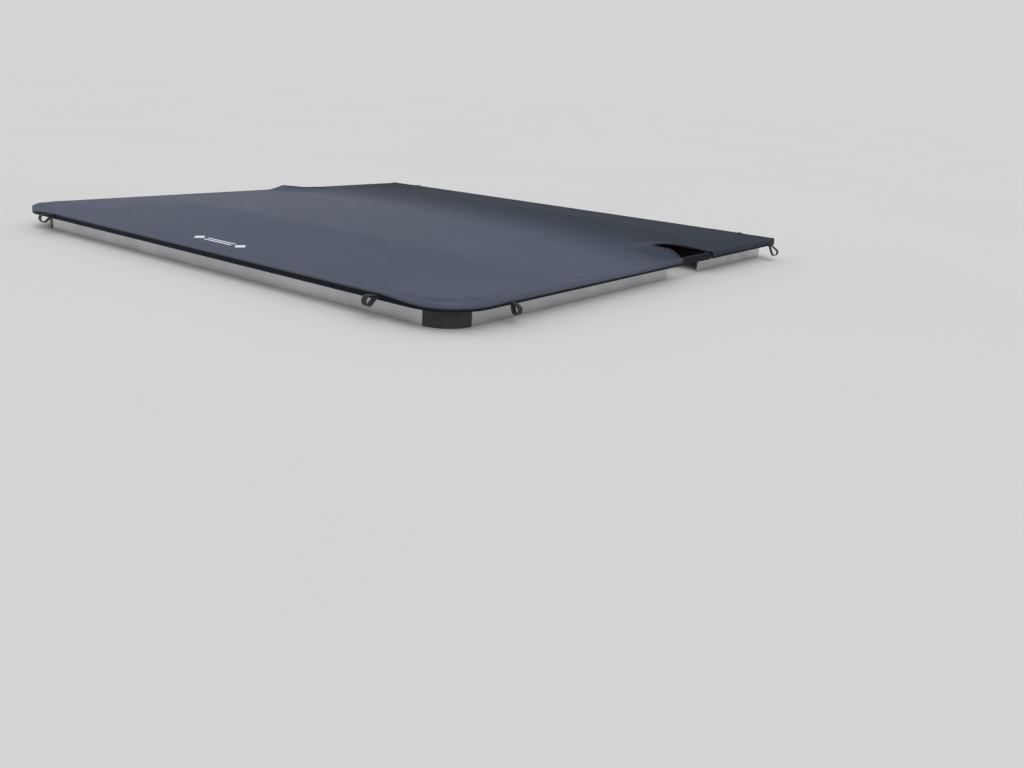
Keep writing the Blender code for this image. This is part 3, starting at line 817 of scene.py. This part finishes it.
# ---------------- hem
# (distance in, height): rolled lower bead, recessed band, flange under the skin, hook lip
HEM_HOOK = [
    (0.0064, 0.0125), (0.0052, 0.0114), (0.0050, 0.0088), (0.0060, 0.0080), (0.0060, 0.0064),
    (0.0050, 0.0056), (0.0050, 0.0012), (0.0042, 0.0000),
]
HEM_SECTION = [
    (0.0018, 0.0000), (0.0006, 0.0004), (0.0000, 0.0015), (0.0001, 0.0032), (0.0008, 0.0044),
    (0.0013, 0.0052), (0.0014, 0.0095), (0.0014, 0.0132), (0.0021, 0.0150), (0.0044, 0.0160),
    (0.0290, 0.0163), (0.0300, 0.0153), (0.0300, 0.0134), (0.0290, 0.0125), *HEM_HOOK,
]
STRIP_SECTION = [
    (0.0018, 0.0000), (0.0006, 0.0004), (0.0000, 0.0015), (-0.0001, 0.0036), (-0.0001, 0.0060),
    (-0.0001, 0.0085), (0.0000, 0.0110), (0.0004, 0.0140), (0.0018, 0.0162), (0.0044, 0.0174),
    (0.0112, 0.0174), (0.0134, 0.0164), (0.0140, 0.0146), (0.0132, 0.0127), *HEM_HOOK,
]
STRIP_CHANGE = 0.004  # half the length over which the one section turns into the other
HEM_SWELL = 0.00025  # unevenness of the hem's face


def hem_length(name, run, where, *replaced, strip_from=None):
    """Sweep the hem along a run; past strip_from it has no skin over it and is narrower."""
    rings = []
    for station in run:
        section = HEM_SECTION
        if strip_from is not None:
            share = smooth_step(station[0][1], strip_from - STRIP_CHANGE, strip_from + STRIP_CHANGE)
            pairs = zip(HEM_SECTION, STRIP_SECTION)
            section = [tuple(a + (b - a) * share for a, b in zip(p, q)) for p, q in pairs]
        swell = HEM_SWELL * noise.noise(Vector((*(30 * value for value in station[0]), 2.0)))
        ring = []
        for inward, z in section:
            x, y = inset(station, inward - (swell if inward < 0.0015 else 0.0))
            ring.append(Vector((x, y, z)))
        rings.append(ring)
    wrap = Shape().loft(rings).done(f"hem_wrap_{name}", "hem", sharp=50)
    follow(wrap, where, "hem_vinyl", *(f"hem_{node}" for node in replaced))


def build_hem():
    """Stiff hem in its lengths; those that cross a fold are left unfastened where they lie."""
    for side, sign in SIDES.items():
        rear, front = side_run(sign, SPLIT_Y, CORNER_Y), side_run(sign, SPLIT_Y, STRIP_END_Y)
        hem_length(f"rear_{side}", rear, "rear fold", f"middle_{side}", f"rear_{side}")
        hem_length(f"corner_{side}", corner_run(sign), "cover_rear", f"corner_{side}")
        hem_length(f"front_{side}", front, "front fold", f"front_side_{side}", strip_from=NOTCH_REAR_Y)
        hem_length(f"flap_{side}", side_run(sign, FLAP_START_Y, RELIEF_Y), "root", f"flap_{side}")
    hem_length("tailgate", end_run(-1, CORNER_X, -CORNER_X), "cover_rear", "tailgate")
    hem_length("headboard", end_run(1, HEADBOARD_HALF, -HEADBOARD_HALF), "root", "headboard")


# ---------------- stitches
CAB_SEAM_END_X = NOTCH_INNER_X - 0.006


def stitch(shape, centre, along, up):
    """One stitch: a short spindle whose ends dip into the cloth."""
    across = along.cross(up).normalized()
    rings = []
    for share, fullness in ((-0.5, 0.25), (-0.36, 0.85), (0.0, 1.0), (0.36, 0.85), (0.5, 0.25)):
        sink = -0.0003 * (2 * share) ** 4
        middle = centre + share * STITCH_LENGTH * along + sink * up
        radials = [math.cos(math.pi * k / 3) * across + math.sin(math.pi * k / 3) * up for k in range(6)]
        rings.append([middle + STITCH_RADIUS * fullness * radial for radial in radials])
    shape.loft(rings)


def surface_normal(x, y):
    step = 0.001
    slope_x = (skin_height(x + step, y) - skin_height(x - step, y)) / (2 * step)
    slope_y = (skin_height(x, y + step) - skin_height(x, y - step)) / (2 * step)
    return Vector((-slope_x, -slope_y, 1.0)).normalized()


def stitch_along(shape, points, height=0.0):
    """A row of stitches at an even pitch along plan points, on the skin."""
    spent = STITCH_PITCH / 2
    for first, last in zip(points, points[1:]):
        span = math.dist(first, last)
        if span == 0.0:
            continue
        while spent < span:
            x = first[0] + (last[0] - first[0]) * spent / span
            y = first[1] + (last[1] - first[1]) * spent / span
            up = surface_normal(x, y)
            along = Vector((last[0] - first[0], last[1] - first[1], 0.0))
            along = (along - along.dot(up) * up).normalized()
            stitch(shape, Vector((x, y, skin_height(x, y) + 0.0001)) + height * up, along, up)
            spent += STITCH_PITCH
        spent -= span


def sew(name, runs, where):
    """Rows of stitches a seam's distance in from runs of hem."""
    shape = Shape()
    for run in runs:
        stitch_along(shape, [inset(station, SEAM_IN) for station in run])
    return follow(shape.done(name, "thread"), where, "hem_vinyl")


def build_stitches():
    """The top-stitching that holds the hem, on both sheets."""
    rear = sew("hem_stitching_rear", [rear_run()], "rear fold")
    runs = [end_run(1, CAB_SEAM_END_X, -CAB_SEAM_END_X)]
    for sign in SIDES.values():
        runs.append(side_run(sign, SPLIT_Y, NOTCH_REAR_Y - SEAM_STOP))
        runs.append(side_run(sign, NOTCH_FRONT_Y + SEAM_STOP, RELIEF_Y - SEAM_STOP))
    return rear, sew("hem_stitching_front", runs, "front fold")


# ---------------- bindings
# (distance in from the bound edge, height over the middle of the skin): a tape folded in a U
BINDING_SECTION = [
    (0.0086, 0.0020), (0.0060, 0.0023), (0.0030, 0.0024), (0.0010, 0.0019), (0.0002, 0.0010),
    (0.0000, 0.0000), (0.0002, -0.0010), (0.0010, -0.0019), (0.0030, -0.0024), (0.0060, -0.0023),
    (0.0086, -0.0020), (0.0088, -0.0012), (0.0062, -0.0009), (0.0056, 0.0000), (0.0062, 0.0009),
    (0.0088, 0.0012),
]
TAPE_SEAM = 0.0058  # from the bound edge in to the tape's stitches
TAPE_RISE = 0.0016  # of those stitches over the skin


def bind(name, path, hand, *replaced):
    """Bind an edge: path points are (x, y, normal x, normal y), the normal into the skin. The
    hand is -1 on the right and 1 on its mirror image, so that the faces point outwards."""
    rings, rests, length = [], [], 0.0
    for k, (x, y, nx, ny) in enumerate(path):
        length += math.dist((x, y), path[max(0, k - 1)][:2])
        ring, rest = [], []
        for inward, rise in BINDING_SECTION:
            px, py = x + nx * inward, y + ny * inward
            ripple = 1 + 0.04 * math.sin(2 * math.pi * length / STITCH_PITCH)
            ring.append(Vector((px, py, skin_height(px, py) - SKIN_THICK / 2 + rise * ripple)))
            rest.append(Vector((length, inward + 3 * abs(rise), 0.0)))
        rings.append(ring[::hand])
        rests.append(rest[::hand])
    tape = Shape().loft(rings, rest=rests).done(name, "binding", sharp=60)
    follow(tape, "root", "binding", *replaced)


def with_normals(points):
    """Add the left-hand normal to each point of a plan line, mitred at its corners."""
    path = []
    for k, (x, y) in enumerate(points):
        before = points[max(0, k - 1)]
        after = points[min(len(points) - 1, k + 1)]
        normals = []
        for (ax, ay), (bx, by) in ((before, (x, y)), ((x, y), after)):
            span = math.dist((ax, ay), (bx, by))
            if span > 0:
                normals.append(Vector(((ay - by) / span, (bx - ax) / span)))
        middle = sum(normals, Vector((0.0, 0.0))).normalized()
        middle /= max(0.5, middle.dot(normals[0]))
        path.append((x, y, middle.x, middle.y))
    return path


def mirrored(path, sign):
    return [(sign * x, y, sign * nx, ny) for x, y, nx, ny in path]


def build_bindings():
    """Bound edges of the sports-bar notches and of the steps at the two cab corners."""
    notch_path = with_normals(notch_line(0.0, HALF_W - 0.0150))
    ends = [(HALF_W - 0.002, RELIEF_Y), (NOTCH_INNER_X, RELIEF_Y), (NOTCH_INNER_X, HALF_L - 0.002)]
    relief = [ends[0]]
    for first, last in zip(ends, ends[1:]):
        steps = round(math.dist(first, last) / EDGE_PITCH)
        relief += [tuple(a + (b - a) * k / steps for a, b in zip(first, last)) for k in range(1, steps + 1)]
    outward = 0.0030  # of the bound edge past the step's own line
    relief_path = [(x - nx * outward, y - ny * outward, nx, ny) for x, y, nx, ny in with_normals(relief)]
    for side, sign in SIDES.items():
        notch, relief = mirrored(notch_path, sign), mirrored(relief_path, sign)
        bind(f"notch_binding_tape_{side}", notch, -sign, f"notch_binding_{side}")
        bind(f"relief_binding_tape_{side}", relief, -sign)
        for kind, path in (("notch", notch), ("relief", relief)):
            shape = Shape()
            line = [(x + nx * TAPE_SEAM, y + ny * TAPE_SEAM) for x, y, nx, ny in path[1:-1]]
            stitch_along(shape, line, height=TAPE_RISE)
            follow(shape.done(f"{kind}_stitching_{side}", "thread"), "root", "binding")


# ---------------- pull loops
LOOP_HALF = 0.007
LOOP_STRAP = 0.0019
LOOP_RIBS = 4
# ring radius, root to ring centre, droop, the body that carries the hem at its root
LOOPS = {
    "tailgate": (0.0110, 0.0220, math.radians(16), "cover_rear"),
    "rear": (0.0092, 0.0185, math.radians(50), "cover_rear"),
    "front": (0.0100, 0.0290, math.radians(47), "root"),
}


def strap_section():
    """Points (across, out) round a ribbed strap, with whether each lies on an edge."""
    points = []
    steps = 4 * LOOP_RIBS
    for face in (1, -1):
        for k in range(steps + 1):
            across = face * LOOP_HALF * 0.965 * (2 * k / steps - 1)
            rib = 0.00014 * math.cos(2 * math.pi * k / 4)
            edge = 1 - (across / LOOP_HALF) ** 8
            points.append((across, face * (LOOP_STRAP / 2 * (0.55 + 0.45 * edge) + rib)))
        points.append((face * LOOP_HALF, 0.0))
    return points


def teardrop(radius, reach, tip):
    """Middle line of the strap: out from the root, round the ring and back to the root."""
    tangent = math.acos((radius - tip) / reach)
    sweep = 2 * math.pi - 2 * tangent
    start = Vector((tip * math.cos(math.pi - tangent), tip * math.sin(tangent)))
    angles = [math.pi - tangent - sweep * k / 32 for k in range(33)]
    ring = [Vector((reach + radius * math.cos(a), radius * math.sin(a))) for a in angles]
    shares = spread(0.0, 1.0, 0.12)
    end = Vector((start.x, -start.y))
    out = [start.lerp(ring[0], share) for share in shares[:-1]]
    return out + ring + [ring[-1].lerp(end, share) for share in shares[1:]]


def build_loop(kind, side):
    """One pull loop: a strap folded into a ring, its sewn root and its patch on the hem."""
    radius, reach, droop, hem_body = LOOPS[kind]
    sign = SIDES[side]
    out = Vector((0, -1, 0)) if kind == "tailgate" else Vector((sign, 0, 0))
    along = Vector((0, 0, 1)).cross(out)
    pivot = PIVOTS[f"pull_loop_{kind}_{side}_lift"]
    forward = math.cos(droop) * out - Vector((0, 0, math.sin(droop)))
    rise = math.sin(droop) * out + Vector((0, 0, math.cos(droop)))
    line = teardrop(radius - LOOP_STRAP / 2, reach, LOOP_STRAP / 2 + 0.0001)
    section = strap_section()
    half_height = pivot.z / 2 - 0.0003  # of the patch, from the hem's lower edge up to the root
    rings, rests, length = [], [], 0.0
    for k, point in enumerate(line):
        length += (point - line[max(0, k - 1)]).length
        heading = (line[min(len(line) - 1, k + 1)] - line[max(0, k - 1)]).normalized()
        normal = Vector((-heading.y, heading.x))
        # the strap bows and twists a little, as used webbing does
        lean = 0.0003 * math.sin(3.1 * k / len(line) * math.pi + sign)
        ring = []
        for across, thick in section:
            spot = point + normal * (thick + lean * (across / LOOP_HALF) ** 2)
            ring.append(pivot + spot.x * forward + spot.y * rise + across * along)
        rings.append(ring)
        rests.append([Vector((length, across, 0.0)) for across, thick in section])
    loop = Shape().loft(rings, rest=rests).done(f"pull_loop_webbing_{kind}_{side}", "webbing", sharp=70)
    follow(loop, f"loop_{kind}_{side}", "webbing", f"pull_loop_{kind}_{side}")

    bars = Shape()
    for distance in (0.0045, 0.0075):
        for across in spread(-0.0048, 0.0048, 0.0032):
            spot = Vector((distance, LOOP_STRAP / 2 + 0.0012 + 0.28 * distance))
            centre = pivot + spot.x * forward + spot.y * rise + across * along
            stitch(bars, centre, along, rise)
    follow(bars.done(f"pull_loop_stitching_{kind}_{side}", "thread"), f"loop_{kind}_{side}", "webbing")

    face = pivot - (pivot.dot(out) - (HALF_L if kind == "tailgate" else HALF_W)) * out
    rings = []
    for share in spread(-1.0, 1.0, 0.1):
        thick = 0.0009 * max(0.0, 1 - share ** 8) + 0.0001
        middle = face + Vector((0, 0, half_height * share - pivot.z / 2))
        ring = [middle + (thick * (1 - (a / LOOP_HALF) ** 12)) * out + a * along
                for a in spread(-LOOP_HALF, LOOP_HALF, 0.0016)]
        ring += [middle - 0.0008 * out + a * along for a in spread(LOOP_HALF, -LOOP_HALF, 0.0016)]
        rings.append(ring)
    rests = [[Vector((p.dot(along), p.z, 0.0)) for p in ring] for ring in rings]
    patch = Shape().loft(rings, rest=rests).done(f"pull_loop_patch_{kind}_{side}", "webbing", sharp=60)
    follow(patch, hem_body, "webbing")


# ---------------- bows
BOW_SIZE = (0.025, 0.016)
BOW_CORNER = 0.005
BOW_WALL = 0.0018
BOW_LEVEL_X = 0.630  # the tube is level from here to its end
BOW_TOPS = (0.0173, 0.0413)  # at the ends and at the middle
SPRING_TURNS = 7
SPRING_WIRE = 0.0008
SPRING_RADIUS = 0.0043


def bow_ring(x, y, shrink):
    """Section of a bow tube, shrunk by its wall for the inside."""
    arch = max(0.0, 1 - (x / BOW_LEVEL_X) ** 2)
    middle = BOW_TOPS[0] + (BOW_TOPS[1] - BOW_TOPS[0]) * arch - BOW_SIZE[1] / 2
    ring = []
    for quarter, (sy, sz) in enumerate(((1, 1), (-1, 1), (-1, -1), (1, -1))):
        centre = (sy * (BOW_SIZE[0] / 2 - BOW_CORNER), sz * (BOW_SIZE[1] / 2 - BOW_CORNER))
        for k in range(6):
            angle, reach = math.radians(90 * quarter + 18 * k), BOW_CORNER - shrink
            across, rise = reach * math.cos(angle), reach * math.sin(angle)
            ring.append((x, y + centre[0] + across, middle + centre[1] + rise))
    return ring


def build_bows():
    """Finer tubes and springs for the three bows."""
    for name in BOWS:
        y = BOW_Y[name]
        level = [BOW_LEVEL_X * value for value in spread(-1.0, 1.0, 1 / 28)]
        spine = [-BOW_END_X, 0.0005 - BOW_END_X, *level, BOW_END_X - 0.0005, BOW_END_X]
        chamfers = [0.0005] + [0.0] * (len(spine) - 2) + [0.0005]
        outer = [bow_ring(x, y, c) for x, c in zip(spine, chamfers)]
        inner = [bow_ring(x, y, BOW_WALL) for x in reversed(spine)]
        shape = Shape().loft(outer + inner, closed=True)
        follow(shape.done(f"bow_tube_{name}", "bow", sharp=35), "root", "bow_aluminium", f"bow_{name}")

        low, high = (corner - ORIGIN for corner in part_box(f"bow_spring_{name}"))
        middle_z = (low.z + high.z) / 2
        rings = []
        total = SPRING_TURNS * 28
        start, end = low.x + SPRING_WIRE, high.x - SPRING_WIRE
        tight = smooth_step(0, -0.10, 1.10)
        for k in range(total + 1):
            turn = 2 * math.pi * SPRING_TURNS * k / total
            # the end coils lie close together, as on a ground compression spring
            share = (smooth_step(k / total, -0.10, 1.10) - tight) / (1 - 2 * tight)
            outward = Vector((0, math.cos(turn), math.sin(turn)))
            centre = Vector((start + (end - start) * share, y, middle_z)) + SPRING_RADIUS * outward
            angles = [2 * math.pi * j / 10 for j in range(10)]
            radials = [math.cos(a) * outward + math.sin(a) * Vector((1, 0, 0)) for a in angles]
            rings.append([centre + SPRING_WIRE * radial for radial in radials])
        spring = Shape().loft(rings).done(f"bow_spring_wire_{name}", "steel", sharp=60)
        follow(spring, "root", "spring_steel", f"bow_spring_{name}")
        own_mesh(spring)


# ---------------- screws, caps and the mark
SCREW_PROFILE = [
    (0.0042, -0.0004), (0.0042, 0.0005), (0.0036, 0.0014), (0.0026, 0.0020), ((0.0015, 6), 0.0021),
    ((0.0015, 6), 0.0009), (0.0004, 0.0007),
]
SCREW_PITCH = 0.26
SCREW_FROM_END = 0.045
SCREW_Z = -0.026  # of the row along a rail's leg
SCREW_CLEAR = 0.030  # kept between that row and the middle of a bow
BRACKET_SCREW_Y = 0.0145  # to each side of the middle of the bow
BRACKET_SCREW_Z = 0.0095  # above the bracket's lower end


def screw_row(name, spots, inward):
    """Button screws with their heads facing the middle of the cover."""
    shape = Shape()
    for spot in spots:
        shape.lathe(spot, inward, SCREW_PROFILE)
    follow(shape.done(name, "steel", sharp=35), "root", "spring_steel")


def build_screws():
    """Button screws in the brackets and along the rails' legs."""
    for name in BOWS:
        for side, sign in SIDES.items():
            low, high = (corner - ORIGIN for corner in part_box(f"bow_bracket_{name}_{side}"))
            face = low.x if sign > 0 else high.x
            offsets = (-BRACKET_SCREW_Y, BRACKET_SCREW_Y)
            spots = [(face, BOW_Y[name] + offset, low.z + BRACKET_SCREW_Z) for offset in offsets]
            screw_row(f"bracket_screws_{name}_{side}", spots, (-sign, 0, 0))
    for side, sign in SIDES.items():
        for rail in ("side_rail", "short_rail"):
            low, high = (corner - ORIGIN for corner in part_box(f"{rail}_{side}"))
            face = low.x if sign > 0 else high.x
            places = spread(low.y + SCREW_FROM_END, high.y - SCREW_FROM_END, SCREW_PITCH)
            clear = [y for y in places if min(abs(y - bow) for bow in BOW_Y.values()) > SCREW_CLEAR]
            screw_row(f"{rail}_screws_{side}", [(face, y, SCREW_Z) for y in clear], (-sign, 0, 0))
    for rail, sign in (("tailgate_rail", -1), ("front_rail", 1)):
        low, high = (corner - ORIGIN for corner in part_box(rail))
        face = low.y if sign > 0 else high.y
        places = spread(low.x + SCREW_FROM_END, high.x - SCREW_FROM_END, SCREW_PITCH)
        screw_row(f"{rail}_screws", [(x, face, SCREW_Z) for x in places], (0, -sign, 0))


def build_mark():
    """A plain printed ornament near the tailgate: a pair of bars between two lozenges."""
    centre, half, depth = Vector((0.023, -0.690)), 0.017, 0.0155
    rise, sink = 0.00016, 0.0002  # of the ink's two faces from the skin's
    forms = [[(x - half, 0), (x, -depth), (x + half, 0), (x, depth)] for x in (-0.078, 0.078)]
    for y in (-0.0062, 0.0062):
        forms.append([(-0.052, y - 0.0026), (0.052, y - 0.0026), (0.052, y + 0.0026), (-0.052, y + 0.0026)])
    shape = Shape()
    for form in forms:
        corners = [Vector(p) for p in form]
        rings = []
        for share in spread(0.0, 1.0, 0.05):
            first = corners[0].lerp(corners[1], share)
            last = corners[3].lerp(corners[2], share)
            line = [centre + first.lerp(last, t) for t in spread(0.0, 1.0, 0.05)]
            top = [(p.x, p.y, skin_height(p.x, p.y) + rise) for p in line]
            base = [(p.x, p.y, skin_height(p.x, p.y) - sink) for p in reversed(line)]
            rings.append(top + base)
        shape.loft(rings)
    follow(shape.done("printed_ornament", "print", sharp=60), "cover_rear", "vinyl")


# ---------------- carried-over CAD nodes
def dress_nodes():
    """Finer edges and real finishes on the CAD nodes that stay."""
    looks = {
        "side_rail": "rail_side", "short_rail": "rail_side", "corner_rail": "plastic",
        "tailgate_rail": "rail_end", "front_rail": "rail_end", "side_seal": "foam",
        "short_seal": "foam", "tailgate_seal": "foam", "front_seal": "foam",
        "bow_plug": "plastic", "bow_plunger": "plastic", "spring_seat": "plastic",
        "bow_bracket": "plastic",
    }
    for name, node in frame["nodes"].items():
        look = next((looks[key] for key in looks if name.startswith(key)), None)
        if look is None or node.hide_render:
            continue
        node.data.materials.clear()
        node.data.materials.append(MATERIALS[look])
        bevel = node.modifiers.new("worn edges", "BEVEL")
        bevel.width = 0.0004 if look in ("rail_side", "rail_end", "foam") else 0.0008
        bevel.segments = 2
        bevel.limit_method = "ANGLE"
        bevel.angle_limit = math.radians(35)


# ---------------- studio
def build_studio():
    """Pale floor, soft lights and the camera."""
    mesh = bpy.data.meshes.new("floor")
    reach, level = 40.0, CAD_BOX[0].z - 0.0005
    corners = [(-reach, -reach, level), (reach, -reach, level), (reach, reach, level), (-reach, reach, level)]
    mesh.from_pydata(corners, [], [(0, 1, 2, 3)])
    mesh.materials.append(MATERIALS["floor"])
    floor = add_object("floor", mesh)

    world = bpy.data.worlds.new("studio")
    bpy.context.scene.world = world
    world.use_nodes = True
    tree = world.node_tree
    background, height = tree.nodes["Background"], tree.nodes.new("ShaderNodeSeparateXYZ")
    place, sky = tree.nodes.new("ShaderNodeTexCoord"), tree.nodes.new("ShaderNodeValToRGB")
    background.inputs["Strength"].default_value = 0.66
    # as pale as the floor near the horizon and bluer above
    stops = ((0.12, (1.0, 1.0, 1.0, 1.0)), (0.45, (0.80, 0.85, 0.92, 1.0)))
    for element, (position, tint) in zip(sky.color_ramp.elements, stops):
        element.position, element.color = position, tint
    tree.links.new(place.outputs["Generated"], height.inputs["Vector"])
    tree.links.new(height.outputs["Z"], sky.inputs["Fac"])
    tree.links.new(sky.outputs["Color"], background.inputs["Color"])

    lamps = (
        ("key", (2.4, -1.6, 2.6), 45, 1.50, (0.98, 0.98, 1.0)),
        ("fill", (-3.0, -2.4, 1.4), 45, 0.30, (0.98, 0.98, 1.0)),
        ("top", (0.0, -1.2, 3.4), 60, 0.30, (0.98, 0.98, 1.0)),
    )
    for name, direction, spread_angle, strength, tint in lamps:
        data = bpy.data.lights.new(name, "SUN")
        data.angle, data.energy, data.color = math.radians(spread_angle), strength, tint
        lamp = add_object(name, data)
        lamp.location = direction
        lamp.rotation_mode = "QUATERNION"
        lamp.rotation_quaternion = Vector(direction).to_track_quat("Z", "Y")

    camera_data = bpy.data.cameras.new("camera")
    camera_data.lens, camera_data.sensor_width = 32.74, 36.0
    camera_data.clip_start = 0.05
    camera = add_object("camera", camera_data)
    yaw, pitch, roll = (math.radians(angle) for angle in (36.534, 17.520, 3.569))
    turned = Matrix.Rotation(yaw, 4, "Z") @ Matrix.Rotation(math.pi / 2 - pitch, 4, "X")
    place = Matrix.Translation((1.8903, ORIGIN.y - 2.0201, 0.4467))
    camera.matrix_world = place @ turned @ Matrix.Rotation(roll, 4, "Z")
    bpy.context.scene.camera = camera
    bpy.context.scene.view_settings.view_transform = "Standard"


# ---------------- assembly
build_studio()
rear_sheet, front_sheet = build_skin()
build_hem()
stitching_rear, stitching_front = build_stitches()
build_bindings()
for loop_kind in LOOPS:
    for loop_side in SIDES:
        build_loop(loop_kind, loop_side)
build_bows()
build_screws()
build_mark()
dress_nodes()
